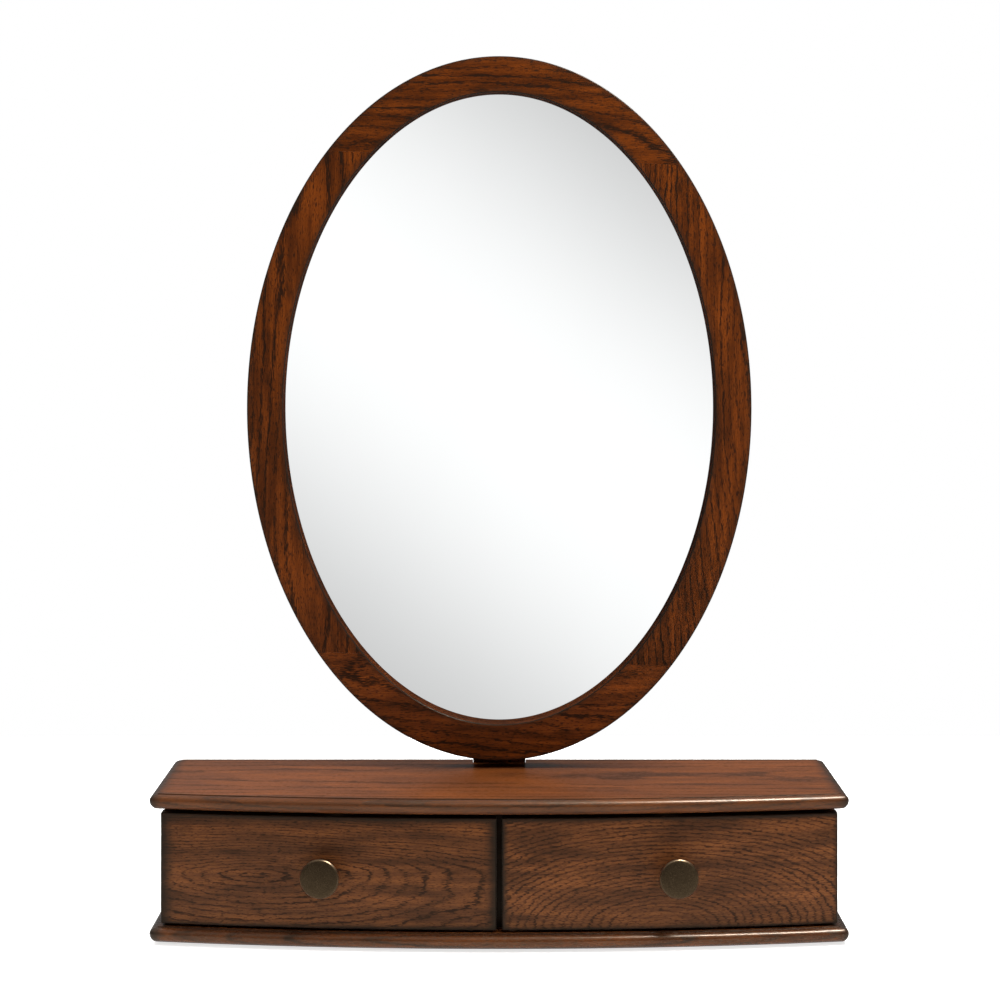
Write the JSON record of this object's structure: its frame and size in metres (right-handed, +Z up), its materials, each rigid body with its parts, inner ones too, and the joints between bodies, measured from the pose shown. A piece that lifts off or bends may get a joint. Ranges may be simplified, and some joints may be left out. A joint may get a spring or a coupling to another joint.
{
  "type": "dressing table mirror with drawers",
  "caption": "Oval wood-framed mirror that tilts on a rear post, above a low bow-fronted case with side-by-side drawers on round knobs, for the top of a dressing table.",
  "frame": {"origin": "on the surface the felt pads stand on, under the middle of the whole object's bounding box", "axes": "+X to the object's right as seen from the front, +Y towards its back, +Z up; the drawers open towards -Y"},
  "size_m": [0.554, 0.1906, 0.7141],
  "materials": {
    "stained_board": "dark stained oak under clear satin lacquer, rounded front and end edges",
    "stained_case": "dark stained oak under clear satin lacquer",
    "stained_front": "dark stained oak under clear satin lacquer, edges shaded nearly black",
    "stained_ring": "warm dark stained oak under clear satin lacquer, black arrises",
    "drawer_wood": "planed, sealed light wood",
    "drawer_ply": "thin plywood, sealed",
    "fibreboard": "brown pressed fibreboard",
    "mirror": "clear float glass, silvered behind",
    "antique_bronze": "dark antique bronze, satin, rubbed at the rim",
    "zinc_steel": "zinc-plated steel",
    "black_steel": "black coated steel",
    "felt": "dark brown felt"
  },
  "bodies": {
    "case": {"top_board": "stained_board", "bottom_board": "stained_board", "left_side": "stained_case", "right_side": "stained_case", "centre_divider": "stained_case", "mirror_post": "stained_case", "left_kicker": "drawer_wood", "right_kicker": "drawer_wood", "back_panel": "fibreboard", "case_screw_left_front": "zinc_steel", "case_screw_left_rear": "zinc_steel", "case_screw_middle_front": "zinc_steel", "case_screw_middle_rear": "zinc_steel", "case_screw_right_front": "zinc_steel", "case_screw_right_rear": "zinc_steel", "post_screw_lower": "zinc_steel", "post_screw_upper": "zinc_steel", "pivot_bolt": "black_steel", "clamp_knob": "black_steel", "felt_pad_left_front": "felt", "felt_pad_left_rear": "felt", "felt_pad_right_front": "felt", "felt_pad_right_rear": "felt"},
    "left_drawer": {"left_drawer_front": "stained_front", "left_drawer_outer_side": "drawer_wood", "left_drawer_inner_side": "drawer_wood", "left_drawer_back": "drawer_wood", "left_drawer_bottom": "drawer_ply", "left_knob": "antique_bronze", "left_knob_screw": "zinc_steel"},
    "right_drawer": {"right_drawer_front": "stained_front", "right_drawer_outer_side": "drawer_wood", "right_drawer_inner_side": "drawer_wood", "right_drawer_back": "drawer_wood", "right_drawer_bottom": "drawer_ply", "right_knob": "antique_bronze", "right_knob_screw": "zinc_steel"},
    "mirror": {"ring_top": "stained_ring", "ring_bottom": "stained_ring", "ring_left": "stained_ring", "ring_right": "stained_ring", "mirror_backboard": "fibreboard", "mirror_glass": "mirror", "bracket_screw_1": "zinc_steel", "bracket_screw_2": "zinc_steel", "bracket_screw_3": "zinc_steel", "bracket_screw_4": "zinc_steel", "clip_screw_1": "zinc_steel", "clip_screw_2": "zinc_steel", "clip_screw_3": "zinc_steel", "clip_screw_4": "zinc_steel", "backboard_clip_1": "zinc_steel", "backboard_clip_2": "zinc_steel", "backboard_clip_3": "zinc_steel", "backboard_clip_4": "zinc_steel", "tilt_bracket": "black_steel"}
  },
  "joints": [
    {"name": "left_drawer_slide", "type": "slide", "parent": "case", "child": "left_drawer", "axis": [0, -1, 0], "range_m": [0, 0.1]},
    {"name": "right_drawer_slide", "type": "slide", "parent": "case", "child": "right_drawer", "axis": [0, -1, 0], "range_m": [0, 0.1]},
    {"name": "mirror_tilt", "type": "hinge", "parent": "case", "child": "mirror", "pos_m": [0, 0.0859, 0.4198], "axis": [-1, 0, 0], "range_deg": [0, 18]}
  ]
}
